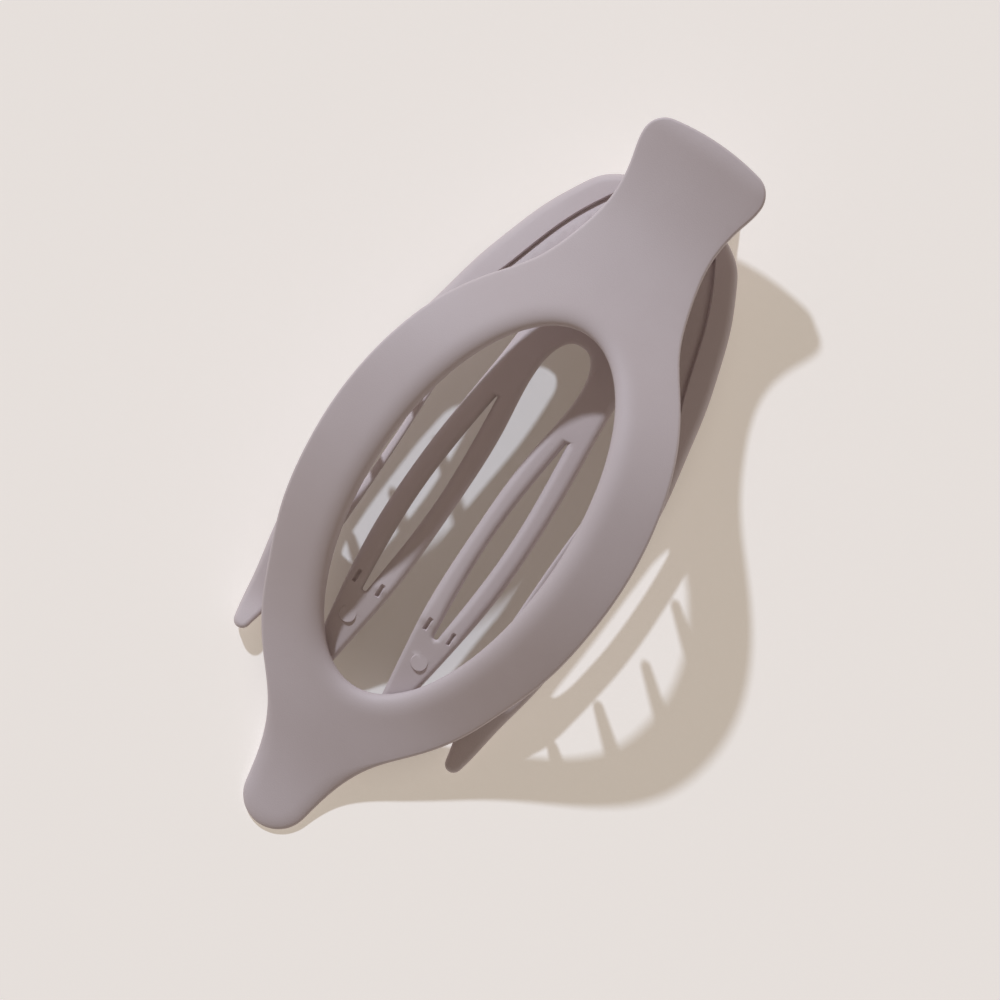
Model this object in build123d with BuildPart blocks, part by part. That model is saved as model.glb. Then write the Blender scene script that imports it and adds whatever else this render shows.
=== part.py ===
from build123d import *
import os
from collections import namedtuple
from math import atan2, cos, degrees, pi, radians, sin, sqrt, tan

# Flat hair claw clip, lying closed on its beak and its lower thumb lever.
# X runs along the clip towards the thumb tab, Y across it, Z up from the surface it lies on.
# The origin is on that surface, under the middle of the clip. All sizes are millimetres.

# Overall size
length = 120.0            # end of the beak to the end of the thumb tab
width = 50.3              # across the widest part of the upper jaw
rise = 29.3               # crest of the upper jaw's crown line above the surface

# Upper jaw: an arched shell with an oval window
wall = 3.0                # thickness of the shell
beak_wall = 1.9           # thickness at the end of the beak
across_radius = 100.0     # radius of the shell's crown from side to side
rim_roll = 2.0            # rounding of the window's rim
blank_margin = 4.6        # spare width of the arched blank on each side before it is cut to plan
window_length = 61.4
window_width = 30.3
window_place = 0.462      # centre of the window, share of the length from the beak
beak_radius = 5.2         # round end of the beak
beak_spread = 11.0        # degrees that the beak's sides open by where its round end stops
tab_width = 20.7
tab_corner = 3.6          # corner radius of the thumb tab
tab_end_radius = 37.0     # slight bow of the thumb tab's end

# Teeth under the ring
tooth_length_base = 3.6   # along the clip, where a tooth leaves the shell
tooth_width_base = 2.6
tooth_tip = 1.5           # across the blunt end
tooth_end = 1.0           # across its flat
tooth_lean = 6.0          # degrees that the tips lean towards the thumb tab
tooth_inset = 2.6         # centre of a tip, in from the ring's outer edge
root_sink = 1.5           # depth that a tooth's root reaches into the shell

# Lower jaw: a slim arched plate with two arms and two prongs
plate_wall = 2.4          # upright thickness of the plate
plate_across = 67.0       # radius of its arch from side to side
arm_tip_radius = 1.3
prong_tip_radius = 1.25
paddle_half_width = 12.6  # half width of the blank that both flat prong ends are cut from
panel_step = 0.6          # depth of the wing panels below the border
mark_radius = 1.2         # round mould mark on each prong end
pocket_length = 2.1       # shallow pockets where the rails meet the flat prong ends
pocket_width = 1.6
pocket_depth = 0.7
pocket_sides = [3.9, 8.45]  # their distances from the middle line
lever_width = 13.2
lever_root_depth = 0.8    # top of the lever's root below the plate's top face
lever_knee_depth = 3.8    # under the lever where it leaves the plate, below the top face
lever_end = 2.0           # thickness of the lever where it rests on the surface
lever_foot = 2.4          # length of its flat foot

# Hinge
pin_radius = 1.0
pin_fit = 0.02            # radial gap of the pin in the lower jaw's ears
running_gap = 0.05        # radial gap of the pin in the upper jaw's lugs
lug_radius = 2.3          # round ends of the lugs and ears
lug_wall = 2.0
lug_sink = 1.0            # depth that a lug reaches into the shell
ear_sink = 1.2            # depth that an ear reaches into the plate
side_gap = 0.3            # between a lug and the ear beside it
lug_clearance = 0.9       # lug's round end above the plate
ear_spread = 15.8         # outer faces of the ears

# Spring
wire = 0.9                # wire diameter
coil_play = 0.35          # coil's inner face to the pin
coil_turns = 4
coil_pitch = 1.1
leg_reach = 9.0           # each leg, from the pin's axis towards the thumb tab
leg_gap = 0.25            # between a leg's end and the plastic it bears on
coil_corners = 8          # straight steps in a turn, with their corners rounded
corner_round = 0.85       # rounding of a corner, share of the coil's radius

Level = namedtuple("Level", "along level")
Spot = namedtuple("Spot", "along half")
Tooth = namedtuple("Tooth", "along height")

# Crown line along the middle of the upper jaw, as shares of the length and of the rise
crown_line = [
    Level(-0.05, 0.036),
    Level(0.00, 0.044),
    Level(0.05, 0.066),
    Level(0.095, 0.112),
    Level(0.14, 0.183),
    Level(0.22, 0.321),
    Level(0.29, 0.509),
    Level(0.36, 0.710),
    Level(0.43, 0.870),
    Level(0.51, 0.969),
    Level(0.60, 1.000),
    Level(0.68, 0.918),
    Level(0.74, 0.795),
    Level(0.80, 0.683),
    Level(0.86, 0.621),
    Level(0.91, 0.622),
    Level(0.96, 0.658),
    Level(1.00, 0.703),
    Level(1.05, 0.764),
]

# Crown line along the middle of the lower jaw's plate, in the same shares
plate_line = [
    Level(0.15, 0.226),
    Level(0.19, 0.224),
    Level(0.23, 0.225),
    Level(0.27, 0.290),
    Level(0.31, 0.353),
    Level(0.35, 0.382),
    Level(0.40, 0.404),
    Level(0.45, 0.422),
    Level(0.50, 0.432),
    Level(0.55, 0.435),
    Level(0.60, 0.434),
    Level(0.65, 0.423),
    Level(0.70, 0.404),
    Level(0.75, 0.377),
    Level(0.80, 0.345),
    Level(0.85, 0.317),
    Level(0.90, 0.300),
    Level(0.95, 0.287),
]

# Top of the flat prong ends, which slope straight down towards the beak
paddle_tip = Level(0.184, 0.120)
paddle_root = Level(0.320, 0.350)

# Side of the upper jaw from beak to tab, as shares of the length and of the half width
upper_side = [
    Spot(0.084, 0.255),
    Spot(0.132, 0.359),
    Spot(0.181, 0.551),
    Spot(0.230, 0.710),
    Spot(0.278, 0.812),
    Spot(0.339, 0.919),
    Spot(0.412, 0.983),
    Spot(0.479, 1.000),
    Spot(0.558, 0.965),
    Spot(0.619, 0.893),
    Spot(0.667, 0.800),
    Spot(0.716, 0.655),
    Spot(0.764, 0.496),
    Spot(0.813, 0.406),
    Spot(0.880, 0.348),
    Spot(0.928, 0.377),
]

# Tips of the teeth on each side, as shares of the length and of the rise
teeth = [
    Tooth(0.574, 0.372),
    Tooth(0.493, 0.378),
    Tooth(0.408, 0.310),
    Tooth(0.333, 0.292),
]

# Outlines of the lower jaw's half, as shares of the length and of the half width
arm_tip = Spot(0.195, 0.748)
arm_outer = [
    Spot(0.254, 0.846),
    Spot(0.315, 0.901),
    Spot(0.388, 0.939),
    Spot(0.461, 0.957),
    Spot(0.533, 0.948),
    Spot(0.594, 0.925),
    Spot(0.667, 0.861),
    Spot(0.728, 0.800),
    Spot(0.776, 0.733),
    Spot(0.825, 0.652),
    Spot(0.868, 0.551),
    Spot(0.892, 0.475),
    Spot(0.904, 0.400),
]
plate_end = Spot(0.912, 0.300)
arm_inner = [
    Spot(0.278, 0.600),
    Spot(0.351, 0.567),
    Spot(0.400, 0.564),
    Spot(0.448, 0.564),
    Spot(0.497, 0.568),
    Spot(0.545, 0.576),
    Spot(0.620, 0.580),
]
gap_root = Spot(0.691, 0.467)
prong_tip = Spot(0.194, 0.238)
prong_outer = [
    Spot(0.254, 0.339),
    Spot(0.327, 0.391),
    Spot(0.388, 0.420),
    Spot(0.448, 0.426),
    Spot(0.521, 0.414),
    Spot(0.582, 0.391),
    Spot(0.643, 0.365),
]
prong_inner = [
    Spot(0.278, 0.133),
    Spot(0.327, 0.104),
    Spot(0.448, 0.084),
    Spot(0.570, 0.104),
    Spot(0.643, 0.142),
    Spot(0.672, 0.132),
    Spot(0.691, 0.100),
    Spot(0.702, 0.050),
]
crotch = 0.704

# Slots through the lower jaw: blunt end, widest place and pointed end
prong_slot_outer = [Spot(0.309, 0.264), Spot(0.448, 0.304), Spot(0.597, 0.250)]
prong_slot_inner = [Spot(0.597, 0.242), Spot(0.448, 0.194), Spot(0.309, 0.238)]
lens_slots = [(prong_slot_outer, prong_slot_inner)]
arm_slot = [
    Spot(0.366, 0.780),
    Spot(0.390, 0.815),
    Spot(0.450, 0.835),
    Spot(0.500, 0.835),
    Spot(0.547, 0.827),
    Spot(0.596, 0.805),
    Spot(0.617, 0.765),
    Spot(0.617, 0.680),
    Spot(0.596, 0.636),
    Spot(0.547, 0.616),
    Spot(0.497, 0.610),
    Spot(0.448, 0.610),
    Spot(0.400, 0.614),
    Spot(0.366, 0.645),
]
small_slot = [Spot(0.318, 0.725), Spot(0.346, 0.725)]
small_slot_width = 0.9

# Low panels in the wings
wing_crease = [
    Spot(0.691, 0.719),
    Spot(0.727, 0.652),
    Spot(0.764, 0.597),
    Spot(0.813, 0.522),
    Spot(0.861, 0.417),
    Spot(0.886, 0.348),
]
panel_inner = [Spot(0.886, 0.230), Spot(0.691, 0.600)]
mark_place = Spot(0.2746, 0.252)

# Places along the clip
hinge_place = 0.825
lever_root = 0.843
lever_tip = 0.956


def along(share):
    """X for a share of the length counted from the beak."""
    return (share - 0.5) * length


def place(spot):
    """Plan position of a spot on the half with positive Y."""
    return along(spot.along), spot.half * width / 2


def follow(rows, share):
    """Smooth value of a table at a share of the length."""
    at = max(1, min(len(rows) - 2, sum(row[0] <= share for row in rows) - 1))
    if share < rows[1][0]:
        at = 0
    here, there = rows[at], rows[at + 1]
    before, after = rows[max(at - 1, 0)], rows[min(at + 2, len(rows) - 1)]
    step = there[0] - here[0]
    t = (share - here[0]) / step
    leave = (there[1] - before[1]) / (there[0] - before[0]) * step
    arrive = (after[1] - here[1]) / (after[0] - here[0]) * step
    return (
        (2 * t**3 - 3 * t**2 + 1) * here[1]
        + (t**3 - 2 * t**2 + t) * leave
        + (3 * t**2 - 2 * t**3) * there[1]
        + (t**3 - t**2) * arrive
    )


def crown(share):
    """Height of the upper jaw's crown line."""
    return rise * follow(crown_line, share)


def shell_drop(share):
    """Vertical thickness of the shell, which is more than its wall where it slopes."""
    nudge = 0.002
    slope = (crown(share + nudge) - crown(share - nudge)) / (2 * nudge * length)
    taper = min(max(share, 0) / upper_side[1].along, 1)
    return (beak_wall + (wall - beak_wall) * taper) * sqrt(1 + slope**2)


def side_drop(y):
    """Fall of the shell from its crown line out to a distance across."""
    return across_radius - sqrt(across_radius**2 - y**2)


def underside(share, y):
    """Height of the shell's inner face."""
    return crown(share) - side_drop(y) - shell_drop(share)


def plate_top(share):
    """Height of the plate's crown line."""
    return rise * follow(plate_line, share)


def paddle_top(share):
    """Height of the flat prong ends."""
    slope = (paddle_root.level - paddle_tip.level) / (paddle_root.along - paddle_tip.along)
    return rise * (paddle_tip.level + slope * (share - paddle_tip.along))


pin_x = along(hinge_place)
pin_z = plate_top(hinge_place) + lug_clearance + lug_radius
ear_outer = ear_spread / 2
ear_inner = ear_outer - lug_wall
lug_outer = ear_inner - side_gap
lug_inner = lug_outer - lug_wall


# Upper jaw: the arched shell is lofted through side-to-side arcs, then cut to its plan
with BuildPart() as upper_jaw:
    reach = width / 2 + blank_margin
    for row in crown_line:
        crest = rise * row.level
        edge = crest - side_drop(reach)
        drop = shell_drop(row.along)
        across = Plane(origin=(along(row.along), 0, 0), x_dir=(0, 1, 0), z_dir=(1, 0, 0))
        with BuildSketch(across):
            with BuildLine():
                ThreePointArc((-reach, edge), (0, crest), (reach, edge))
                Line((reach, edge), (reach, edge - drop))
                ThreePointArc((reach, edge - drop), (0, crest - drop), (-reach, edge - drop))
                Line((-reach, edge - drop), (-reach, edge))
            make_face()
    loft()
    with BuildSketch(Plane.XY):
        with BuildLine():
            beak_x = along(0) + beak_radius
            beak_end = CenterArc((beak_x, 0), beak_radius, 180, beak_spread - 90)
            corner_y = tab_width / 2 - tab_corner
            bow_x = along(1) - tab_end_radius
            corner_x = bow_x + sqrt((tab_end_radius - tab_corner) ** 2 - corner_y**2)
            corner_turn = degrees(atan2(corner_y, corner_x - bow_x))
            Spline(
                beak_end @ 1,
                *[place(spot) for spot in upper_side],
                (corner_x, tab_width / 2),
                tangents=[beak_end % 1, (1, 0)],
            )
            CenterArc((corner_x, corner_y), tab_corner, 90, corner_turn - 90)
            CenterArc((bow_x, 0), tab_end_radius, corner_turn, -corner_turn)
            mirror(about=Plane.XZ)
        make_face()
        with Locations((along(window_place), 0)):
            Ellipse(window_length / 2, window_width / 2, mode=Mode.SUBTRACT)
    extrude(amount=rise + wall, mode=Mode.INTERSECT)
    broad_faces = upper_jaw.faces().sort_by(SortBy.AREA)[-2:]
    fillet(broad_faces.sort_by(Axis.Z)[-1].inner_wires().edges(), radius=rim_roll)
    # Teeth hang from the ring's outer edge, and their roots are sunk into the shell
    for tooth in teeth:
        tip_y = follow(upper_side, tooth.along) * width / 2 - tooth_inset
        tip_z = tooth.height * rise
        hang = underside(tooth.along, tip_y) - tip_z + root_sink
        root_x = along(tooth.along) - hang * tan(radians(tooth_lean))
        for side in (1, -1):
            tip_point = Vector(along(tooth.along), side * tip_y, tip_z)
            root_share = root_x / length + 0.5
            root_z = underside(root_share, tip_y) + root_sink
            up = (Vector(root_x, side * tip_y, root_z) - tip_point).normalized()
            across_y = (0, 1, 0)
            with BuildSketch(Plane(origin=tip_point, x_dir=across_y, z_dir=up)):
                Circle(tooth_end / 2)
            with BuildSketch(Plane(origin=tip_point + up * tooth_tip / 2, x_dir=across_y, z_dir=up)):
                Circle(tooth_tip / 2)
            root_point = (root_x, side * tip_y, root_z)
            with BuildSketch(Plane(origin=root_point, x_dir=across_y, z_dir=up)):
                Ellipse(tooth_width_base / 2, tooth_length_base / 2)
            loft(ruled=True)
    # Lugs hang from the neck and turn on the pin
    lug_top = underside(hinge_place, lug_inner) + lug_sink
    for side in (1, -1):
        near = lug_inner if side > 0 else -lug_outer
        with BuildSketch(Plane.XZ.offset(-near)):
            with Locations((pin_x, pin_z)):
                Circle(lug_radius)
            with Locations((pin_x, (pin_z + lug_top) / 2)):
                Rectangle(2 * lug_radius, lug_top - pin_z)
            with Locations((pin_x, pin_z)):
                Circle(pin_radius + running_gap, mode=Mode.SUBTRACT)
        extrude(amount=-lug_wall)
upper_jaw.part.label = "upper_jaw"


def plate_layer(high, low):
    """Solid between two heights over the plate's top face, lofted through side-to-side arcs."""
    reach = width / 2 + blank_margin
    fall = plate_across - sqrt(plate_across**2 - reach**2)
    with BuildPart() as layer:
        for row in plate_line:
            crest = rise * row.level
            top_edge = crest + high - fall
            low_edge = crest + low - fall
            across = Plane(origin=(along(row.along), 0, 0), x_dir=(0, 1, 0), z_dir=(1, 0, 0))
            with BuildSketch(across):
                with BuildLine():
                    ThreePointArc((-reach, top_edge), (0, crest + high), (reach, top_edge))
                    Line((reach, top_edge), (reach, low_edge))
                    ThreePointArc((reach, low_edge), (0, crest + low), (-reach, low_edge))
                    Line((-reach, low_edge), (-reach, top_edge))
                make_face()
        loft()
    return layer.part


# Tool solid over the low panels in the wings
with BuildPart() as panel_space:
    add(plate_layer(plate_wall, -panel_step))
    with BuildSketch(Plane.XY):
        with BuildLine():
            Spline(*[place(spot) for spot in wing_crease])
            Polyline(
                place(wing_crease[-1]),
                *[place(spot) for spot in panel_inner],
                place(wing_crease[0]),
            )
        make_face()
        mirror(about=Plane.XZ)
    extrude(amount=rise, mode=Mode.INTERSECT)


# Lower jaw: an arched plate with straight prong ends, cut to its plan, with slots, lever and ears
with BuildPart() as lower_jaw:
    add(plate_layer(0, -plate_wall))
    paddle_start = along(plate_line[0].along)
    paddle_stop = along(paddle_root.along)
    with Locations(((paddle_start + paddle_stop) / 2, 0, rise / 2)):
        Box(paddle_stop - paddle_start, 2 * paddle_half_width, rise, mode=Mode.SUBTRACT)
    with BuildSketch(Plane.XZ):
        with BuildLine():
            start_z = paddle_top(plate_line[0].along)
            stop_z = paddle_top(paddle_root.along)
            Polyline(
                (paddle_start, start_z),
                (paddle_stop, stop_z),
                (paddle_stop, stop_z - plate_wall),
                (paddle_start, start_z - plate_wall),
                close=True,
            )
        make_face()
    extrude(amount=paddle_half_width, both=True)
    with BuildSketch(Plane.XY):
        with BuildLine():
            # Prong's inner edge, from the crotch on the middle line to its round tip
            tip_x, tip_y = place(prong_tip)
            Spline(
                (along(crotch), 0),
                *[place(spot) for spot in reversed(prong_inner)],
                (tip_x, tip_y - prong_tip_radius),
            )
            ThreePointArc(
                (tip_x, tip_y - prong_tip_radius),
                (tip_x - prong_tip_radius, tip_y),
                (tip_x, tip_y + prong_tip_radius),
            )
            # Its outer edge, back to the round root of the gap beside the arm
            root_x, root_y = place(gap_root)
            root_radius = place(arm_inner[-1])[1] - root_y
            Spline(
                (tip_x, tip_y + prong_tip_radius),
                *[place(spot) for spot in prong_outer],
                (root_x, root_y - root_radius),
            )
            ThreePointArc(
                (root_x, root_y - root_radius),
                (root_x + root_radius, root_y),
                (root_x, root_y + root_radius),
            )
            # Arm's inner edge, round tip and outer edge
            Line((root_x, root_y + root_radius), place(arm_inner[-1]))
            arm_x, arm_y = place(arm_tip)
            Spline(
                *[place(spot) for spot in reversed(arm_inner)],
                (arm_x, arm_y - arm_tip_radius),
                tangents=[(-1, 0), (-1, 0.2)],
            )
            ThreePointArc(
                (arm_x, arm_y - arm_tip_radius),
                (arm_x - arm_tip_radius, arm_y),
                (arm_x, arm_y + arm_tip_radius),
            )
            Spline(
                (arm_x, arm_y + arm_tip_radius),
                *[place(spot) for spot in arm_outer],
                place(plate_end),
                tangents=[(1, 0.25), (0, -1)],
            )
            Line(place(plate_end), (place(plate_end)[0], 0))
            mirror(about=Plane.XZ)
        make_face()
    extrude(amount=rise, mode=Mode.INTERSECT)
    # Slots between the rails
    with BuildSketch(Plane.XY):
        for outer, inner in lens_slots:
            with BuildLine():
                ThreePointArc(*[place(spot) for spot in outer])
                Line(place(outer[-1]), place(inner[0]))
                ThreePointArc(*[place(spot) for spot in inner])
                Line(place(inner[-1]), place(outer[0]))
            make_face()
        with BuildLine():
            Spline(*[place(spot) for spot in arm_slot], periodic=True)
        make_face()
        small_start, small_y = place(small_slot[0])
        small_stop = place(small_slot[1])[0]
        with Locations(((small_start + small_stop) / 2, small_y)):
            SlotOverall(small_stop - small_start, small_slot_width)
        mirror(about=Plane.XZ)
    extrude(amount=rise, mode=Mode.SUBTRACT)
    add(panel_space.part, mode=Mode.SUBTRACT)
    # Shallow pockets where the rails meet the flat prong ends
    with BuildSketch(Plane.XY.offset(stop_z - pocket_depth)):
        for pocket_y in pocket_sides:
            with Locations((paddle_stop, pocket_y), (paddle_stop, -pocket_y)):
                Rectangle(pocket_length, pocket_width)
    extrude(amount=plate_wall, mode=Mode.SUBTRACT)
    # Round mould marks, level, so they stand proud on the beak's side and are sunk on the other
    mark_x, mark_y = place(mark_place)
    with BuildSketch(Plane.XY.offset(paddle_top(mark_place.along))) as mark_disc:
        with Locations((mark_x, mark_y), (mark_x, -mark_y)):
            Circle(mark_radius)
    extrude(amount=-plate_wall / 2)
    extrude(mark_disc.sketch, amount=plate_wall / 2, mode=Mode.SUBTRACT)
    # Thumb lever, which slopes from under the plate to the surface
    with BuildSketch(Plane.XZ):
        with BuildLine():
            knee_x = along(plate_end.along)
            knee_z = plate_top(plate_end.along)
            Polyline(
                (along(lever_root), plate_top(lever_root) - lever_root_depth),
                (knee_x - plate_wall, knee_z - lever_root_depth),
                (along(lever_tip), lever_end),
                (along(lever_tip), 0),
                (along(lever_tip) - lever_foot, 0),
                (knee_x - 2 * plate_wall, knee_z - lever_knee_depth),
                (along(lever_root), plate_top(lever_root) - plate_wall),
                close=True,
            )
        make_face()
    extrude(amount=lever_width / 2, both=True)
    # Ears hold the pin outside the lugs
    ear_foot = plate_top(hinge_place) - ear_sink
    for side in (1, -1):
        near = ear_inner if side > 0 else -ear_outer
        with BuildSketch(Plane.XZ.offset(-near)):
            with Locations((pin_x, pin_z)):
                Circle(lug_radius)
            with Locations((pin_x, (pin_z + ear_foot) / 2)):
                Rectangle(2 * lug_radius, pin_z - ear_foot)
            with Locations((pin_x, pin_z)):
                Circle(pin_radius + pin_fit, mode=Mode.SUBTRACT)
        extrude(amount=-lug_wall)
lower_jaw.part.label = "lower_jaw"


# Hinge pin: a plain steel rod, flush with the ears
with BuildPart() as hinge_pin:
    with BuildSketch(Plane.XZ):
        with Locations((pin_x, pin_z)):
            Circle(pin_radius)
    extrude(amount=ear_outer, both=True)
hinge_pin.part.label = "hinge_pin"


# Torsion spring: a wire coil round the pin, with a leg under the tab and a leg on the plate
with BuildPart() as hinge_spring:
    coil_radius = pin_radius + coil_play + wire / 2
    leg_share = hinge_place + leg_reach / length
    upper_leg_z = underside(leg_share, lug_inner) - leg_gap - wire / 2
    lower_leg_z = plate_top(leg_share) + leg_gap + wire / 2
    corner_radius = coil_radius / cos(pi / coil_corners)
    half_turn = coil_corners // 2
    steps = coil_corners * coil_turns + half_turn
    start_y = -coil_pitch * steps / coil_corners / 2
    path_points = [(pin_x + leg_reach, start_y, lower_leg_z)]
    for step in range(steps):
        turn = radians(-90) - 2 * pi * (step + 0.5) / coil_corners
        path_points.append(
            (
                pin_x + corner_radius * cos(turn),
                start_y + coil_pitch * (step + 0.5) / coil_corners,
                pin_z + corner_radius * sin(turn),
            )
        )
    path_points.append((pin_x + leg_reach, -start_y, upper_leg_z))
    with BuildLine() as spring_path:
        FilletPolyline(*path_points, radius=coil_radius * corner_round)
    with BuildSketch(Plane(origin=spring_path.line @ 0, z_dir=spring_path.line % 0)):
        Circle(wire / 2)
    sweep(path=spring_path.line)
hinge_spring.part.label = "hinge_spring"


os.makedirs("parts", exist_ok=True)
for piece in (upper_jaw, lower_jaw, hinge_pin, hinge_spring):
    export_step(piece.part, f"parts/{piece.part.label}.step")
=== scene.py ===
import math
import bpy
import numpy as np
from mathutils import Matrix, Vector
from mathutils.geometry import delaunay_2d_cdt


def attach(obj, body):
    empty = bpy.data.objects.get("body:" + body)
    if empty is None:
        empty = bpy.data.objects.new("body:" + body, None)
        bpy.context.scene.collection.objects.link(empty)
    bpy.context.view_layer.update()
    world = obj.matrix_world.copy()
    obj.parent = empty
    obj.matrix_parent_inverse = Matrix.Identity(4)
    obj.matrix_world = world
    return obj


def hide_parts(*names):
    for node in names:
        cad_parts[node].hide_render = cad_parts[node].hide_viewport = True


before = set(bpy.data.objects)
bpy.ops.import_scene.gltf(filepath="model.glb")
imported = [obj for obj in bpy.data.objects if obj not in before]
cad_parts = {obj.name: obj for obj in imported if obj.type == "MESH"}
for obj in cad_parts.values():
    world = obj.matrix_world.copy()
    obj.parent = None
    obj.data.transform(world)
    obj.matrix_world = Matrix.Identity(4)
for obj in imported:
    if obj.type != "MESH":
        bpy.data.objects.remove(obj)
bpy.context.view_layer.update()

scene = bpy.context.scene


# Setting: a plain pale table top under one soft key light from the top of the view, with
# warm light coming back from the room. The table's faint glow is painted room light, made
# weaker close to the clip as painted shade round and under it. The camera looks almost
# straight down from far off.
table_tone = (0.80, 0.80, 0.80)
painted_shade_near_clip = (0.055, 0.045, 0.030)
painted_room_light_far = (0.325, 0.288, 0.243)
painted_shade_reach = (0.014, 0.027)
key_tone = (0.816, 0.882, 1.0)
key_power = 2.04
key_from = Vector((0.436, 0.63, 0.643))
key_softness = math.radians(2.4)
room_tone = (0.240, 0.197, 0.165)

table_mesh = bpy.data.meshes.new("table_top")
table_mesh.from_pydata([(-2, -2, 0), (2, -2, 0), (2, 2, 0), (-2, 2, 0)], [], [(0, 1, 2, 3)])
table_top = bpy.data.objects.new("table_top", table_mesh)
scene.collection.objects.link(table_top)

table_finish = bpy.data.materials.new("table_paint")
table_finish.use_nodes = True
table_shader = table_finish.node_tree.nodes["Principled BSDF"]
table_shader.inputs["Base Color"].default_value = (*table_tone, 1)
table_shader.inputs["Roughness"].default_value = 0.9
table_shader.inputs["Specular IOR Level"].default_value = 0.1
table_nodes = table_finish.node_tree.nodes
table_links = table_finish.node_tree.links
table_place = table_nodes.new("ShaderNodeTexCoord")
table_oval = table_nodes.new("ShaderNodeMapping")
table_oval.inputs["Scale"].default_value = (0.5, 1, 1)
table_distance = table_nodes.new("ShaderNodeVectorMath")
table_distance.operation = "LENGTH"
# The table's emission: painted shade close to the clip, fading out to painted room light.
painted_shade_fade = table_nodes.new("ShaderNodeMapRange")
painted_shade_fade.interpolation_type = "SMOOTHSTEP"
painted_shade_fade.inputs["From Min"].default_value = painted_shade_reach[0]
painted_shade_fade.inputs["From Max"].default_value = painted_shade_reach[1]
painted_glow_mix = table_nodes.new("ShaderNodeMix")
painted_glow_mix.data_type = "RGBA"
painted_glow_mix.inputs[6].default_value = (*painted_shade_near_clip, 1)
painted_glow_mix.inputs[7].default_value = (*painted_room_light_far, 1)
table_links.new(table_place.outputs["Object"], table_oval.inputs["Vector"])
table_links.new(table_oval.outputs["Vector"], table_distance.inputs[0])
table_links.new(table_distance.outputs["Value"], painted_shade_fade.inputs["Value"])
table_links.new(painted_shade_fade.outputs["Result"], painted_glow_mix.inputs[0])
table_links.new(painted_glow_mix.outputs[2], table_shader.inputs["Emission Color"])
table_shader.inputs["Emission Strength"].default_value = 1.0
table_mesh.materials.append(table_finish)

key_lamp = bpy.data.lights.new("key_light", "SUN")
key_lamp.color = key_tone
key_lamp.energy = key_power
key_lamp.angle = key_softness
key_light = bpy.data.objects.new("key_light", key_lamp)
key_light.rotation_mode = "QUATERNION"
key_light.rotation_quaternion = key_from.to_track_quat("Z", "Y")
scene.collection.objects.link(key_light)

room = bpy.data.worlds.new("room")
room.use_nodes = True
room.node_tree.nodes["Background"].inputs["Color"].default_value = (*room_tone, 1)
scene.world = room
scene.view_settings.view_transform = "Standard"

frame_width = 0.1458
camera_away = 1.6
camera_lean = math.radians(1.5)
camera_aim = Vector((-0.00073, -0.0028, 0.014))
lens = bpy.data.cameras.new("camera")
lens.sensor_width = 36
lens.lens = lens.sensor_width * camera_away / frame_width
lens.clip_end = 10
camera = bpy.data.objects.new("camera", lens)
back = Vector((0, -math.sin(camera_lean), math.cos(camera_lean)))
right = Vector((0.565, -0.825, 0))
right = (right - right.dot(back) * back).normalized()
camera.rotation_mode = "QUATERNION"
camera.rotation_quaternion = Matrix((right, back.cross(right), back)).transposed().to_quaternion()
camera.location = camera_aim + back * camera_away
scene.collection.objects.link(camera)
scene.camera = camera


# Soft-touch plastic: both jaws are moulded in one mauve grey plastic and coated with a thin
# rubbery paint. It is matt, a little cloudy, and finely pebbled.
coat_tone = (0.615, 0.537, 0.540)
coat_tone_worn = (0.655, 0.580, 0.586)


def build_surface_grain():
    """Node group with a slow cloud and a fine grain, for any finish of the clip."""
    group = bpy.data.node_groups.new("surface_grain", "ShaderNodeTree")
    face = group.interface
    face.new_socket("Place", in_out="INPUT", socket_type="NodeSocketVector")
    for label, start in (("Cloud per metre", 120.0), ("Grain per metre", 4000.0)):
        face.new_socket(label, in_out="INPUT", socket_type="NodeSocketFloat").default_value = start
    face.new_socket("Cloud", in_out="OUTPUT", socket_type="NodeSocketFloat")
    face.new_socket("Grain", in_out="OUTPUT", socket_type="NodeSocketFloat")
    inner = group.nodes
    start = inner.new("NodeGroupInput")
    stop = inner.new("NodeGroupOutput")
    for label, depth in (("Cloud", 3.0), ("Grain", 2.0)):
        noise = inner.new("ShaderNodeTexNoise")
        noise.inputs["Detail"].default_value = depth
        noise.inputs["Roughness"].default_value = 0.55
        group.links.new(start.outputs["Place"], noise.inputs["Vector"])
        group.links.new(start.outputs[label + " per metre"], noise.inputs["Scale"])
        group.links.new(noise.outputs["Fac"], stop.inputs[label])
    return group


surface_grain = build_surface_grain()


def grained_finish(name, tones, cloud, grain, roughness, depth, stretch):
    """Material whose colour, gloss and surface follow the shared cloud and grain."""
    finish = bpy.data.materials.new(name)
    finish.use_nodes = True
    nodes, links = finish.node_tree.nodes, finish.node_tree.links
    shader = nodes["Principled BSDF"]
    place = nodes.new("ShaderNodeTexCoord")
    turned = nodes.new("ShaderNodeMapping")
    turned.inputs["Scale"].default_value = stretch
    pattern = nodes.new("ShaderNodeGroup")
    pattern.node_tree = surface_grain
    pattern.inputs["Cloud per metre"].default_value = cloud
    pattern.inputs["Grain per metre"].default_value = grain
    tone = nodes.new("ShaderNodeMix")
    tone.data_type = "RGBA"
    tone.inputs[6].default_value = (*tones[0], 1)
    tone.inputs[7].default_value = (*tones[1], 1)
    gloss = nodes.new("ShaderNodeMapRange")
    gloss.inputs["To Min"].default_value = roughness[0]
    gloss.inputs["To Max"].default_value = roughness[1]
    bump = nodes.new("ShaderNodeBump")
    bump.inputs["Strength"].default_value = 0.35
    bump.inputs["Distance"].default_value = depth
    links.new(place.outputs["Object"], turned.inputs["Vector"])
    links.new(turned.outputs["Vector"], pattern.inputs["Place"])
    links.new(pattern.outputs["Cloud"], tone.inputs[0])
    links.new(pattern.outputs["Grain"], gloss.inputs["Value"])
    links.new(pattern.outputs["Grain"], bump.inputs["Height"])
    links.new(tone.outputs[2], shader.inputs["Base Color"])
    links.new(gloss.outputs["Result"], shader.inputs["Roughness"])
    links.new(bump.outputs["Normal"], shader.inputs["Normal"])
    return finish


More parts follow.
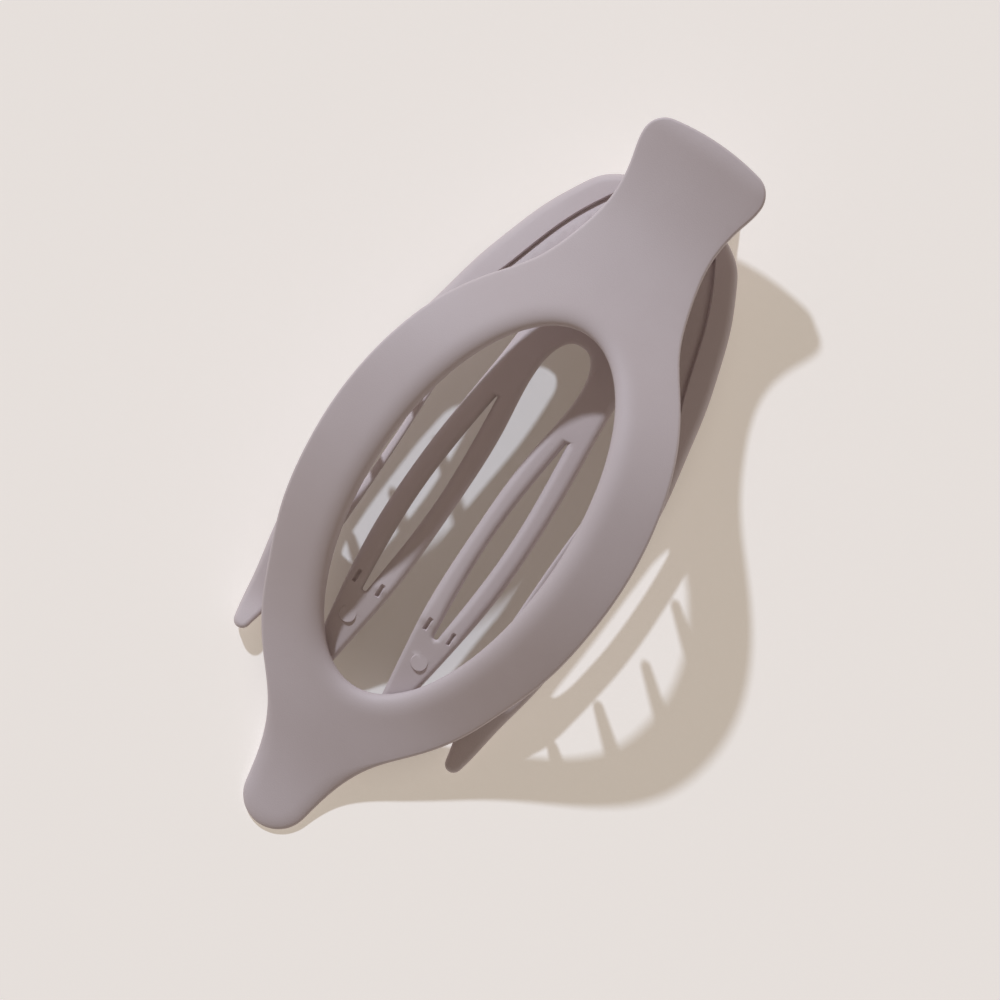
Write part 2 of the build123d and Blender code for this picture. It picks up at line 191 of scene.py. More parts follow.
plastic = grained_finish(
    "soft_touch_mauve", (coat_tone, coat_tone_worn), 110, 5200, (0.52, 0.68), 0.00006, (1, 1, 1)
)
plastic_shader = plastic.node_tree.nodes["Principled BSDF"]
plastic_shader.inputs["Sheen Weight"].default_value = 0.08
plastic_shader.inputs["Sheen Roughness"].default_value = 0.5
plastic_shader.inputs["Specular IOR Level"].default_value = 0.4


# Upper jaw: an arched shell with an oval window, a slim beak and a thumb tab. It is one
# moulding, with its rims rolled soft, and two lugs under the neck that turn on the pin.
length, width, rise = 120.0, 50.3, 29.3
shell_wall, beak_wall, across_radius = 3.0, 1.9, 100.0
window_size, window_place = (61.4, 30.3), 0.462
window_roll = (3.4, 2.3)
shell_roll, beak_roll = (0.4, 0.4), (2.4, 0.75)
beak_roll_start, beak_roll_span, beak_taper = 0.16, 0.09, 0.132
shell_under_roll, window_under_roll = 0.4, 0.5
tab_end_roll = (3.0, 0.8)
crown_rows = [
    (-0.05, 0.036), (0.00, 0.044), (0.05, 0.066), (0.095, 0.112), (0.14, 0.183),
    (0.22, 0.321), (0.29, 0.509), (0.36, 0.710), (0.43, 0.870), (0.51, 0.969),
    (0.60, 1.000), (0.68, 0.918), (0.74, 0.795), (0.80, 0.683), (0.86, 0.621),
    (0.91, 0.622), (0.96, 0.658), (1.00, 0.703), (1.05, 0.764),
]
upper_rows = [
    (0.084, 0.255), (0.132, 0.359), (0.181, 0.551), (0.230, 0.710), (0.278, 0.812),
    (0.339, 0.919), (0.412, 0.983), (0.479, 1.000), (0.558, 0.965), (0.619, 0.893),
    (0.667, 0.800), (0.716, 0.655), (0.764, 0.496), (0.813, 0.406), (0.880, 0.348),
    (0.928, 0.377),
]


def along(share):
    """X in millimetres for a share of the clip's length from the beak."""
    return (share - 0.5) * length


def plan(rows):
    """Plan points in millimetres for rows of shares of the length and of the half width."""
    return np.array([(along(share), half * width / 2) for share, half in rows])


def smooth(at, values, where, first=None, last=None):
    """Values of the smooth curve that has these values at these places."""
    at = np.asarray(at, float)
    values = np.asarray(values, float).reshape(len(at), -1)
    gap = np.diff(at)
    step = np.diff(values, axis=0) / gap[:, None]
    rows = np.zeros((len(at), len(at)))
    sums = np.zeros(values.shape)
    for i in range(1, len(at) - 1):
        rows[i, i - 1:i + 2] = gap[i], 2 * (gap[i - 1] + gap[i]), gap[i - 1]
        sums[i] = 3 * (gap[i] * step[i - 1] + gap[i - 1] * step[i])
    rows[0, :2] = (2, 1) if first is None else (1, 0)
    sums[0] = 3 * step[0] if first is None else first
    rows[-1, -2:] = (1, 2) if last is None else (0, 1)
    sums[-1] = 3 * step[-1] if last is None else last
    slope = np.linalg.solve(rows, sums)
    where = np.asarray(where, float)
    i = np.clip(np.searchsorted(at, where, side="right") - 1, 0, len(at) - 2)
    t = ((where - at[i]) / gap[i])[..., None]
    span = gap[i][..., None]
    return (
        (2 * t**3 - 3 * t**2 + 1) * values[i]
        + (t**3 - 2 * t**2 + t) * span * slope[i]
        + (3 * t**2 - 2 * t**3) * values[i + 1]
        + (t**3 - t**2) * span * slope[i + 1]
    )


def through(points, first=None, last=None, step=0.2):
    """Close points along the smooth line through the given ones."""
    points = np.asarray(points, float)
    run = np.concatenate([[0], np.cumsum(np.linalg.norm(np.diff(points, axis=0), axis=1))])
    where = np.linspace(0, run[-1], int(run[-1] / step) + 2)
    return smooth(run, points, where, first, last)


def arc(centre, radius, start, stop):
    """Close points along an arc between two angles in degrees."""
    count = max(6, int(abs(math.radians(stop - start)) * radius / 0.15))
    turn = np.radians(np.linspace(start, stop, count))
    return np.array(centre) + radius * np.stack([np.cos(turn), np.sin(turn)], 1)


def even_loop(points, spacing, ease):
    """Closed edge with even steps, its corners eased by about this many millimetres."""
    points = np.asarray(points, float)
    points = points[np.linalg.norm(points - np.roll(points, 1, 0), axis=1) > 1e-6]
    closed = np.vstack([points, points[:1]])
    run = np.concatenate([[0], np.cumsum(np.linalg.norm(np.diff(closed, axis=0), axis=1))])
    finer = 4
    count = int(run[-1] / spacing) * finer
    where = np.arange(count) * run[-1] / count
    loop = np.stack([np.interp(where, run, closed[:, k]) for k in (0, 1)], 1)
    gain = np.exp(-2 * (np.pi * np.fft.fftfreq(count, run[-1] / count) * ease) ** 2)
    loop = np.fft.ifft(np.fft.fft(loop, axis=0) * gain[:, None], axis=0).real
    return loop[::finer]


def both_sides(half):
    """Closed outline from its half on the positive Y side."""
    return np.vstack([half * (1, -1), half[::-1]])


# Points compared at once, which keeps the memory small.
batch = 1500


def inside(points, loops):
    """Which points lie between the loops, by counting the edges beside each."""
    count = np.zeros(len(points), int)
    for loop in loops:
        here, there = loop, np.roll(loop, -1, 0)
        rise_over = np.where(there[:, 1] == here[:, 1], 1e-12, there[:, 1] - here[:, 1])
        for start in range(0, len(points), batch):
            x, y = points[start:start + batch, :1], points[start:start + batch, 1:2]
            crosses = (here[:, 1] > y) != (there[:, 1] > y)
            at = here[:, 0] + (y - here[:, 1]) * (there[:, 0] - here[:, 0]) / rise_over
            count[start:start + batch] += (crosses & (x < at)).sum(1)
    return count % 2 == 1


def nearest(points, marks):
    """Distance from each point to the closest mark."""
    found = []
    for start in range(0, len(points), batch):
        apart = points[start:start + batch, None] - marks[None]
        found.append(np.sqrt((apart**2).sum(2).min(1)))
    return np.concatenate(found) if found else np.zeros(0)


def plate_skin(edges, top, under, fill, lines=()):
    """Closed skin of a moulded plate: each edge is a loop with the plastic on its left, the
    width and height of the roll along its top and the radius along its underside."""
    top_steps, under_steps, triangle_height = 9, 5, 0.866
    verts, faces = [], []

    def add(spots, heights):
        start = sum(len(part) for part in verts)
        verts.append(np.column_stack([spots, np.broadcast_to(heights, len(spots))]))
        return start

    caps = [[], []]
    for loop, roll_width, roll_height, under_radius in edges:
        wide = np.broadcast_to(roll_width, len(loop))[:, None]
        tall = np.broadcast_to(roll_height, len(loop))
        way = np.roll(loop, -1, 0) - np.roll(loop, 1, 0)
        way /= np.linalg.norm(way, axis=1)[:, None]
        inward = np.stack([-way[:, 1], way[:, 0]], 1)
        starts = []
        for turn in np.linspace(math.pi / 2, 0, top_steps):
            spot = loop + inward * wide * (1 - math.cos(turn))
            starts.append(add(spot, top(*spot.T) - tall * (1 - math.sin(turn))))
            if turn == math.pi / 2:
                caps[0].append((spot, starts[-1]))
        for turn in np.linspace(0, math.pi / 2, under_steps):
            spot = loop + inward * under_radius * (1 - math.cos(turn))
            starts.append(add(spot, under(*spot.T) + under_radius * (1 - math.sin(turn))))
        caps[1].append((spot, starts[-1]))
        count = len(loop)
        for high, low in zip(starts, starts[1:]):
            for i in range(count):
                j = (i + 1) % count
                faces.append((high + i, low + i, low + j, high + j))

    for rings, height, up in ((caps[0], top, True), (caps[1], under, False)):
        loops = [spot for spot, start in rings]
        spots, numbers, ties = [], [], []
        for spot, start in rings:
            first = len(spots)
            count = len(spot)
            spots += [tuple(p) for p in spot]
            numbers += list(range(start, start + count))
            ties += [(first + i, first + (i + 1) % count) for i in range(count)]
        marks = [np.array(spots)]
        extra = []
        for line in lines if up else ():
            first = len(spots) + len(extra)
            extra += [tuple(p) for p in line]
            ties += [(first + i, first + i + 1) for i in range(len(line) - 1)]
            marks.append(np.array(line))
        low, high = loops[0].min(0), loops[0].max(0)
        rows = np.arange(low[1], high[1], fill * triangle_height)
        grid = np.array([
            (x + (n % 2) * fill / 2, y)
            for n, y in enumerate(rows) for x in np.arange(low[0], high[0], fill)
        ])
        grid = grid[inside(grid, loops)]
        grid = grid[nearest(grid, np.vstack(marks)) > 0.5 * fill]
        extra += [tuple(p) for p in grid]
        if extra:
            start = add(np.array(extra), height(*np.array(extra).T))
            numbers += list(range(start, start + len(extra)))
            spots += extra
        found, _, pieces, sources, _, _ = delaunay_2d_cdt(
            [Vector(p) for p in spots], ties, [], 0, 1e-6
        )
        found = np.array([tuple(p) for p in found])
        names = []
        for spot, source in zip(found, sources):
            if source:
                names.append(numbers[source[0]])
            else:
                names.append(add(spot[None], height(*spot[None].T)))
        corners = np.array([list(p) for p in pieces])
        kept = corners[inside(found[corners].mean(1), loops)]
        for a, b, c in kept:
            faces.append(
                (names[a], names[b], names[c]) if up else (names[a], names[c], names[b])
            )
    return np.vstack(verts), faces


def joined(skins):
    """One set of vertices and faces from several skins."""
    verts, faces, start = [], [], 0
    for points, around in skins:
        verts.append(points)
        faces += [tuple(start + i for i in face) for face in around]
        start += len(points)
    return np.vstack(verts), faces


def make_piece(name, verts, faces, finish):
    """Mesh object from vertices in millimetres, smooth except at sharp edges."""
    mesh = bpy.data.meshes.new(name)
    mesh.from_pydata([tuple(p) for p in np.asarray(verts) / 1000], [], faces)
    mesh.polygons.foreach_set("use_smooth", [True] * len(mesh.polygons))
    mesh.set_sharp_from_angle(angle=math.radians(38))
    mesh.materials.append(finish)
    piece = bpy.data.objects.new(name, mesh)
    scene.collection.objects.link(piece)
    return piece


def crown(x):
    """Height of the upper jaw's crown line."""
    at = [along(share) for share, level in crown_rows]
    return smooth(at, [rise * level for share, level in crown_rows], x)[:, 0]


def upper_top(x, y):
    """Outer face of the shell, with the last of the tab eased down."""
    end = np.clip((x - along(1) + tab_end_roll[0]) / tab_end_roll[0], 0, 1)
    return crown(x) - across_radius + np.sqrt(across_radius**2 - y**2) - tab_end_roll[1] * end**2


def upper_under(x, y):
    """Inner face of the shell, flat where the beak rests on the table."""
    step = 0.2
    slope = (crown(x + step) - crown(x - step)) / (2 * step)
    taper = np.clip((x / length + 0.5) / beak_taper, 0, 1)
    drop = (beak_wall + (shell_wall - beak_wall) * taper) * np.sqrt(1 + slope**2)
    return np.maximum(upper_top(x, y) - drop, 0.0)


beak_radius, beak_spread = 5.2, 11
tab_width, tab_corner, tab_bow = 20.7, 3.6, 37.0
beak_arc = arc((along(0) + beak_radius, 0), beak_radius, 180, 90 + beak_spread)
corner_y = tab_width / 2 - tab_corner
bow_x = along(1) - tab_bow
corner_x = bow_x + math.sqrt((tab_bow - tab_corner) ** 2 - corner_y**2)
corner_turn = math.degrees(math.atan2(corner_y, corner_x - bow_x))
spread = math.radians(beak_spread)
upper_side = through(
    [beak_arc[-1], *plan(upper_rows), (corner_x, tab_width / 2)],
    (math.cos(spread), math.sin(spread)),
    (1, 0),
)
upper_half = np.vstack([
    beak_arc,
    upper_side,
    arc((corner_x, corner_y), tab_corner, 90, corner_turn),
    arc((bow_x, 0), tab_bow, corner_turn, 0),
])
upper_edge = even_loop(both_sides(upper_half), spacing=0.45, ease=0.1)
turn = np.linspace(0, -2 * math.pi, 720, endpoint=False)
window = np.stack([
    along(window_place) + window_size[0] / 2 * np.cos(turn),
    window_size[1] / 2 * np.sin(turn),
], 1)
window_edge = even_loop(window, spacing=0.45, ease=0.1)
before_roll = along(beak_roll_start) - upper_edge[:, 0]
beakness = np.clip(before_roll / (beak_roll_span * length), 0, 1)
beakness = beakness * beakness * (3 - 2 * beakness)
edge_roll = [thin + (full - thin) * beakness for thin, full in zip(shell_roll, beak_roll)]
shell_skin = plate_skin(
    [(upper_edge, *edge_roll, shell_under_roll), (window_edge, *window_roll, window_under_roll)],
    upper_top,
    upper_under,
    fill=1.1,
)

lug_radius, lug_wall, ear_outer, side_gap = 2.3, 2.0, 7.9, 0.3
lug_bore, lug_sink, lug_rim, bore_rim = 1.05, 1.0, 0.3, 0.12
pin_x, pin_z = float(along(0.825)), 12.870831
lug_outer = ear_outer - lug_wall - side_gap


def flat(level):
    """Height function of a level face."""
    return lambda x, z: np.full(len(x), level)


def stood(skin):
    """The skin, drawn along and up the clip, stood on edge across it."""
    verts, faces = skin
    return np.column_stack([verts[:, 0], -verts[:, 2], verts[:, 1]]), faces


def upright(outline, bore, near, far):
    """Skin of a flat lug or ear that stands between two distances across the clip. The bore's
    loop stops short of a whole turn, because a loop closes itself."""
    edges = [
        (even_loop(outline, spacing=0.4, ease=0.12), lug_rim, lug_rim, lug_rim),
        (arc((pin_x, pin_z), bore, 360, 10), bore_rim, bore_rim, bore_rim),
    ]
    return stood(plate_skin(edges, flat(-near), flat(-far), fill=0.9))


lug_root = upper_under(np.array([pin_x]), np.array([lug_outer - lug_wall]))
lug_top = float(lug_root[0]) + lug_sink
lug_shape = np.vstack([
    [(pin_x + lug_radius, lug_top), (pin_x - lug_radius, lug_top)],
    arc((pin_x, pin_z), lug_radius, 180, 360),
])
lug_skins = [
    upright(lug_shape, lug_bore, near, near + lug_wall)
    for near in (lug_outer - lug_wall, -lug_outer)
]
upper_jaw = make_piece("upper_shell", *joined([shell_skin, *lug_skins]), plastic)
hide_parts("upper_jaw")
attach(upper_jaw, "upper")


# Lower jaw: a slim plate with two arms and two slotted prongs, in the same coated plastic. It
# is one moulding with its ears, which hold the pin, and the thumb lever the clip stands on.
plate_wall, plate_across, plate_back = 2.4, 67.0, 0.912
plate_rows = [
    (0.15, 0.226), (0.19, 0.224), (0.23, 0.225), (0.27, 0.290), (0.31, 0.353), (0.35, 0.382),
    (0.40, 0.404), (0.45, 0.422), (0.50, 0.432), (0.55, 0.435), (0.60, 0.434), (0.65, 0.423),
    (0.70, 0.404), (0.75, 0.377), (0.80, 0.345), (0.85, 0.317), (0.90, 0.300), (0.95, 0.287),
]
arm_tip, arm_tip_radius = (0.195, 0.748), 1.3
arm_outer = [
    (0.254, 0.846), (0.315, 0.901), (0.388, 0.939), (0.461, 0.957), (0.533, 0.948),
    (0.594, 0.925), (0.667, 0.861), (0.728, 0.800), (0.776, 0.733), (0.825, 0.652),
    (0.868, 0.551), (0.892, 0.475), (0.904, 0.400), (0.912, 0.300),
]
arm_inner = [
    (0.620, 0.580), (0.545, 0.576), (0.497, 0.568), (0.448, 0.564), (0.400, 0.564),
    (0.351, 0.567), (0.278, 0.600),
]
gap_root = (0.691, 0.467)
prong_tip, prong_tip_radius = (0.194, 0.238), 1.25
prong_outer = [
    (0.254, 0.339), (0.327, 0.391), (0.388, 0.420), (0.448, 0.426), (0.521, 0.414),
    (0.582, 0.391), (0.643, 0.365),
]
prong_inner = [
    (0.702, 0.050), (0.691, 0.100), (0.672, 0.132), (0.643, 0.142), (0.570, 0.104),
    (0.448, 0.084), (0.327, 0.104), (0.278, 0.133),
]
crotch = (0.704, 0.0)
prong_slot = ([(0.309, 0.264), (0.448, 0.304), (0.597, 0.250)],
              [(0.597, 0.242), (0.448, 0.194), (0.309, 0.238)])
arm_slot = [
    (0.366, 0.780), (0.390, 0.815), (0.450, 0.835), (0.500, 0.835), (0.547, 0.827),
    (0.596, 0.805), (0.617, 0.765), (0.617, 0.680), (0.596, 0.636), (0.547, 0.616),
    (0.497, 0.610), (0.448, 0.610), (0.400, 0.614), (0.366, 0.645),
]
small_slot = ((0.318, 0.725), (0.346, 0.725), 0.9)
rail_roll, end_roll, rail_share, thin_roll = 1.2, 0.8, 0.42, 0.15
roll_fade, rail_roll_rise, rail_under_roll = (-23.5, -17.5), 0.9, 0.3
slot_roll, slot_under_roll = 0.35, 0.2


def plate_height(x):
    """Top of the lower jaw along its middle."""
    at = [along(share) for share, level in plate_rows]
    return smooth(at, [rise * level for share, level in plate_rows], np.atleast_1d(x))[:, 0]


tip = plan([prong_tip])[0]
root = plan([gap_root])[0]
root_radius = plan([arm_inner[0]])[0][1] - root[1]
arm_end = plan([arm_tip])[0]
lower_half = np.vstack([
    through([*plan([crotch, *prong_inner]), tip - (0, prong_tip_radius)]),
    arc(tip, prong_tip_radius, 270, 90),
    through([tip + (0, prong_tip_radius), *plan(prong_outer), root - (0, root_radius)]),
    arc(root, root_radius, -90, 90),
    through(
        [*plan(arm_inner), arm_end - (0, arm_tip_radius)],
        (-1, 0),
        (-0.98, 0.2),
    ),
    arc(arm_end, arm_tip_radius, 270, 90),
    through([arm_end + (0, arm_tip_radius), *plan(arm_outer)], (0.97, 0.24), (0, -1)),
    [(along(plate_back), 0)],
])
lower_edge = even_loop(both_sides(lower_half), spacing=0.45, ease=0.3)
rail_loops = [lower_edge]
lens_hole = np.vstack([through(plan(row)) for row in prong_slot])
for outline, eased in ((lens_hole, 0.15), (plan(arm_slot), 0.8)):
    for hole in (outline, (outline * (1, -1))[::-1]):
        rail_loops.append(even_loop(hole, spacing=0.4, ease=eased))
lower_edges = []
for place, loop in enumerate(rail_loops):
    others = np.vstack([other for n, other in enumerate(rail_loops) if n != place])
    most = np.interp(loop[:, 0], roll_fade, (end_roll, rail_roll))
    roll = np.clip(rail_share * nearest(loop, others), thin_roll, most)
    lower_edges.append((loop, roll, rail_roll_rise * roll, rail_under_roll))
slot_start, slot_end = plan(small_slot[:2])
slot_half = small_slot[2] / 2
small_hole = np.vstack([
    arc(slot_start + (slot_half, 0), slot_half, 270, 90),
    arc(slot_end - (slot_half, 0), slot_half, 90, -90),
])
for hole in (small_hole, (small_hole * (1, -1))[::-1]):
    slot_edge = even_loop(hole, spacing=0.2, ease=0.03)
    lower_edges.append((slot_edge, slot_roll, slot_roll, slot_under_roll))

paddle_low, paddle_high = (along(0.184), rise * 0.120), (along(0.320), rise * 0.350)
paddle_half, paddle_blend = 12.6, 0.5
mark_spot, mark_radius, mark_wall = plan([(0.2746, 0.252)])[0], 1.2, 0.12
pocket_depth, panel_depth, sunk_wall = 0.7, 0.6, 0.3
crease_depth, crease_reach = 0.5, 0.6
mark_lift = 0.17
wing_crease = [
    (0.691, 0.719), (0.727, 0.652), (0.764, 0.597), (0.813, 0.522), (0.861, 0.417),
    (0.886, 0.348),
]
wing_inner = [(0.886, 0.230), (0.760, 0.440), (0.715, 0.600)]
wing_panel = np.vstack([through(plan(wing_crease)), plan(wing_inner)])
sunk_places = [(even_loop(wing_panel, spacing=0.35, ease=0.1), panel_depth, crease_depth)]
pocket_x, pocket_rows = (-22.65, -20.55), ((3.85, 4.65), (7.98, 8.68))
for low_y, high_y in pocket_rows:
    pocket = [
        (pocket_x[0], low_y), (pocket_x[1], low_y),
        (pocket_x[1], high_y), (pocket_x[0], high_y),
    ]
    sunk_places.append((even_loop(pocket, spacing=0.12, ease=0.1), pocket_depth, 0.0))


def paddle_height(x):
    """Straight slope of the flat prong ends."""
    slope = (paddle_high[1] - paddle_low[1]) / (paddle_high[0] - paddle_low[0])
    return paddle_low[1] + slope * (x - paddle_low[0])


def lower_face(x, y):
    """Top of the lower jaw before anything is sunk into it."""
    arch = plate_height(x) - plate_across + np.sqrt(plate_across**2 - y**2)
    over = np.clip(paddle_high[0] + paddle_blend - x, 0, 1) * (np.abs(y) < paddle_half)
    over = over * over * (3 - 2 * over)
    return arch * (1 - over) + paddle_height(x) * over


def lower_top(x, y):
    """Top of the lower jaw with its marks, pockets and panels."""
    height = lower_face(x, y)
    spots = np.column_stack([x, np.abs(y)])
    for loop, depth, crease in sunk_places:
        within = inside(spots, [loop])
        if within.any():
            away = nearest(spots[within], loop)
            foot = np.clip(away / sunk_wall, 0, 1)
            height[within] -= (depth + crease) * foot
            height[within] += crease * np.clip((away - sunk_wall) / crease_reach, 0, 1)
    apart = np.hypot(spots[:, 0] - mark_spot[0], spots[:, 1] - mark_spot[1])
    level = np.clip((mark_radius + mark_wall - apart) / mark_wall, 0, 1)
    tilt = (mark_spot[0] + mark_radius - x).clip(0, 2 * mark_radius)
    return height + mark_lift * tilt * level


def lower_under(x, y):
    """Underside of the lower jaw."""
    return lower_face(x, y) - plate_wall


turn = np.linspace(0, 2 * math.pi, 48, endpoint=False)
ring = np.stack([np.cos(turn), np.sin(turn)], 1)
feature_lines = [mark_spot + ring * radius for radius in (mark_radius, mark_radius + mark_wall)]
for loop, depth, crease in sunk_places:
    way = np.roll(loop, -1, 0) - np.roll(loop, 1, 0)
    way /= np.linalg.norm(way, axis=1)[:, None]
    side = np.stack([-way[:, 1], way[:, 0]], 1)
    if not inside(loop[:1] + side[:1] * 0.1, [loop])[0]:
        side = -side
    feature_lines += [loop, loop + side * sunk_wall]
    if crease:
        crest = loop + side * (sunk_wall + crease_reach)
        feature_lines.append(even_loop(crest, spacing=0.35, ease=0.2))
feature_lines = [np.vstack([line, line[:1]]) for line in feature_lines]
feature_lines += [line * (1, -1) for line in feature_lines]
jaw_skin = plate_skin(lower_edges, lower_top, lower_under, fill=1.0, lines=feature_lines)

lever_half, lever_rim, lever_bow = 6.6, 0.22, 0.15
knee_drop, lever_foot, lever_lip, lever_sink = 3.8, 2.4, 2.0, 0.8
knee_x, lever_root_x, lever_tip_x = along(plate_back), along(0.843), along(0.956)
knee_z = float(plate_height(knee_x)[0])
lever_root_z = float(plate_height(lever_root_x)[0])


def bowed(start, stop):
    """Close points from one place to another along a line that bulges a little upwards."""
    start, stop = np.array(start), np.array(stop)
    return through([start, (start + stop) / 2 + (0, lever_bow), stop])


knee_under = (knee_x - 2 * plate_wall, knee_z - knee_drop)
knee_over = (knee_x - plate_wall, knee_z - lever_sink)
lever_shape = np.vstack([
    bowed((lever_root_x, lever_root_z - plate_wall), knee_under),
    bowed(knee_under, (lever_tip_x - lever_foot, 0)),
    [(lever_tip_x, 0)],
    bowed((lever_tip_x, lever_lip), knee_over),
    bowed(knee_over, (lever_root_x, lever_root_z - lever_sink)),
])
lever_edge = even_loop(lever_shape, spacing=0.3, ease=0.35)
lever_skin = stood(plate_skin(
    [(lever_edge, lever_rim, lever_rim, lever_rim)],
    flat(lever_half),
    flat(-lever_half),
    fill=1.2,
))
ear_bore, ear_sink = 1.02, 1.2
ear_foot = float(plate_height(pin_x)[0]) - ear_sink
ear_shape = np.vstack([
    [(pin_x - lug_radius, ear_foot), (pin_x + lug_radius, ear_foot)],
    arc((pin_x, pin_z), lug_radius, 0, 180),
])
ear_skins = [
    upright(ear_shape, ear_bore, near, near + lug_wall)
    for near in (ear_outer - lug_wall, -ear_outer)
]
lower_jaw = make_piece("lower_plate", *joined([jaw_skin, lever_skin, *ear_skins]), plastic)
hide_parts("lower_jaw")
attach(lower_jaw, "lower")


# Teeth: four round pegs under each side of the ring, moulded with the shell. They lean a
# little towards the tab and end in a blunt dome just over the arms.
tooth_rows = [(0.574, 0.372), (0.493, 0.378), (0.408, 0.310), (0.333, 0.292)]
tooth_inset, tooth_lean, root_sink = 2.6, math.radians(6), 1.5
tooth_root_radius, tooth_tip_radius, tooth_growth = 1.55, 0.72, 1.2
dome_start, dome_gap = 0.25, 0.3


def build_swept_rod():
    """Geometry nodes that sweep a round section along edges, as thick as each point says."""
    tree = bpy.data.node_groups.new("swept_rod", "GeometryNodeTree")
    face = tree.interface
    face.new_socket("Path", in_out="INPUT", socket_type="NodeSocketGeometry")
    face.new_socket("Sides", in_out="INPUT", socket_type="NodeSocketInt").default_value = 16
    face.new_socket("Finish", in_out="INPUT", socket_type="NodeSocketMaterial")
    face.new_socket("Rod", in_out="OUTPUT", socket_type="NodeSocketGeometry")
    nodes, links = tree.nodes, tree.links
    start = nodes.new("NodeGroupInput")
    stop = nodes.new("NodeGroupOutput")
    to_curve = nodes.new("GeometryNodeMeshToCurve")
    section = nodes.new("GeometryNodeCurvePrimitiveCircle")
    section.inputs["Radius"].default_value = 1.0
    thickness = nodes.new("GeometryNodeInputNamedAttribute")
    thickness.data_type = "FLOAT"
    thickness.inputs["Name"].default_value = "thickness"
    sweep = nodes.new("GeometryNodeCurveToMesh")
    sweep.inputs["Fill Caps"].default_value = True
    real = nodes.new("GeometryNodeRealizeInstances")
    coat = nodes.new("GeometryNodeSetMaterial")
    links.new(start.outputs["Path"], to_curve.inputs["Mesh"])
    links.new(to_curve.outputs["Curve"], sweep.inputs["Curve"])
    links.new(start.outputs["Sides"], section.inputs["Resolution"])
    links.new(section.outputs["Curve"], sweep.inputs["Profile Curve"])
    links.new(thickness.outputs["Attribute"], sweep.inputs["Scale"])
    links.new(sweep.outputs["Mesh"], real.inputs["Geometry"])
    links.new(real.outputs["Geometry"], coat.inputs["Geometry"])
    links.new(start.outputs["Finish"], coat.inputs["Material"])
    links.new(coat.outputs["Geometry"], stop.inputs["Rod"])
    return tree


swept_rod = build_swept_rod()


def rods(name, paths, sides, finish):
    """One plain mesh of round rods along paths of points and radii in millimetres."""
    spots, radii, edges = [], [], []
    for points, sizes in paths:
        first = len(spots)
        spots += [tuple(p) for p in np.asarray(points) / 1000]
        radii += [size / 1000 for size in sizes]
        edges += [(first + i, first + i + 1) for i in range(len(points) - 1)]
    mesh = bpy.data.meshes.new(name + "_path")
    mesh.from_pydata(spots, edges, [])
    mesh.attributes.new("thickness", "FLOAT", "POINT").data.foreach_set("value", radii)
    path = bpy.data.objects.new(name + "_path", mesh)
    scene.collection.objects.link(path)
    sweep = path.modifiers.new("swept_rod", "NODES")
    sweep.node_group = swept_rod
    for socket in swept_rod.interface.items_tree:
        if socket.name == "Sides" and socket.in_out == "INPUT":
            sweep[socket.identifier] = sides
        if socket.name == "Finish" and socket.in_out == "INPUT":
            sweep[socket.identifier] = finish
    made = bpy.data.meshes.new_from_object(
        path.evaluated_get(bpy.context.evaluated_depsgraph_get())
    )
    path.modifiers.remove(sweep)
    bpy.data.objects.remove(path)
    made.name = name
    made.polygons.foreach_set("use_smooth", [True] * len(made.polygons))
    made.set_sharp_from_angle(angle=math.radians(50))
    piece = bpy.data.objects.new(name, made)
    scene.collection.objects.link(piece)
    return piece


tooth_paths = []
for share, level in tooth_rows:
    tip_x, tip_z = along(share), level * rise
    half = smooth([row[0] for row in upper_rows], [row[1] for row in upper_rows], [share])[0, 0]
    tip_y = half * width / 2 - tooth_inset
    under = float(upper_under(np.array([tip_x]), np.array([tip_y]))[0])
    root_x = tip_x - (under - tip_z + root_sink) * math.tan(tooth_lean)
    root_z = float(upper_under(np.array([root_x]), np.array([tip_y]))[0]) + root_sink
    for side in (1, -1):
        tip_spot = np.array([tip_x, side * tip_y, tip_z])
        root_spot = np.array([root_x, side * tip_y, root_z])
        reach = np.linalg.norm(tip_spot - root_spot)
        dome_turns = np.linspace(dome_start, math.pi / 2, 6)
        dome = [tooth_tip_radius * (1 - math.cos(turn)) for turn in dome_turns]
        runs = np.concatenate([dome, np.linspace(dome[-1] + dome_gap, reach, 9)])
        sizes = []
        for run in runs:
            growth = (run / reach) ** tooth_growth
            grown = tooth_tip_radius + (tooth_root_radius - tooth_tip_radius) * growth
            sunk = max(0, 1 - run / tooth_tip_radius)
            sizes.append(grown * math.sqrt(1 - sunk**2))
        middle = [tip_spot + (root_spot - tip_spot) * run / reach for run in runs]
        tooth_paths.append((middle, sizes))
upper_teeth = rods("upper_teeth", tooth_paths, sides=24, finish=plastic)
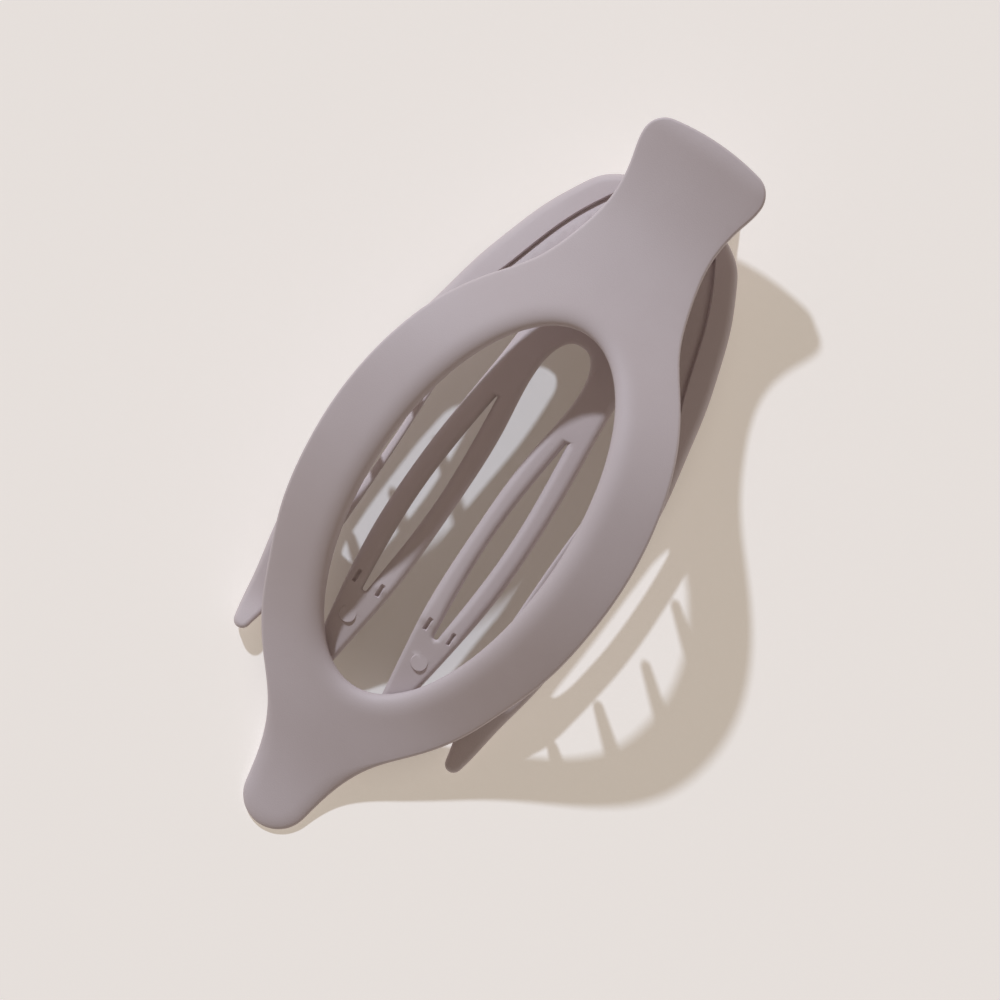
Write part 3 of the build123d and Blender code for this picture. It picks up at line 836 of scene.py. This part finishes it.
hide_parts("upper_jaw")
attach(upper_teeth, "upper")


# Hinge: a plain drawn steel pin runs through the lugs and ears, and a coil of spring wire
# round its middle pushes the tab up with one leg and the plate down with the other.
steel = grained_finish(
    "drawn_steel", ((0.58, 0.58, 0.59), (0.66, 0.66, 0.67)), 260, 2600, (0.24, 0.4), 0.00002,
    (1, 0.12, 1),
)
steel.node_tree.nodes["Principled BSDF"].inputs["Metallic"].default_value = 1.0
pin_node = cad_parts["hinge_pin"]
pin_node.data.materials.clear()
pin_node.data.materials.append(steel)

wire_radius, coil_radius, coil_pitch, coil_turns = 0.45, 1.8, 1.1, 4.5
wire_tuck, coil_step = 0.01, 0.16
leg_reach, leg_gap, overlap = 9.0, 0.25, math.radians(35)
leg_x = pin_x + leg_reach
lower_leg_z = float(plate_height(leg_x)[0]) + leg_gap + wire_radius
lug_face = np.array([lug_outer - lug_wall])
upper_leg_z = float(upper_under(np.array([leg_x]), lug_face)[0]) - leg_gap - wire_radius
coil_start_y = -coil_pitch * coil_turns / 2
whole_turn = 2 * math.pi * coil_turns


def coil(first, last, radius):
    """Points of the coil between two shares of its turning, counted from the lower leg."""
    turned = np.linspace(first, last, int((last - first) / coil_step) + 2)
    angle = -math.pi / 2 - turned
    return np.stack([
        pin_x + radius * np.cos(angle),
        coil_start_y + coil_pitch * turned / (2 * math.pi),
        pin_z + radius * np.sin(angle),
    ], 1)


upper_share = whole_turn - math.pi
lower_wire = np.vstack([[(leg_x, coil_start_y, lower_leg_z)], coil(0, upper_share, coil_radius)])
upper_wire = np.vstack([
    coil(upper_share - overlap, whole_turn, coil_radius),
    [(leg_x, -coil_start_y, upper_leg_z)],
])
# Where the two parts of the wire overlap, the upper one is a hair thinner and lies inside.
for name, points, radius, body in (
    ("spring_lower", lower_wire, wire_radius, "lower"),
    ("spring_upper", upper_wire, wire_radius - wire_tuck, "upper"),
):
    spring = rods(name, [(points, [radius] * len(points))], sides=14, finish=steel)
    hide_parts("hinge_spring")
    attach(spring, body)
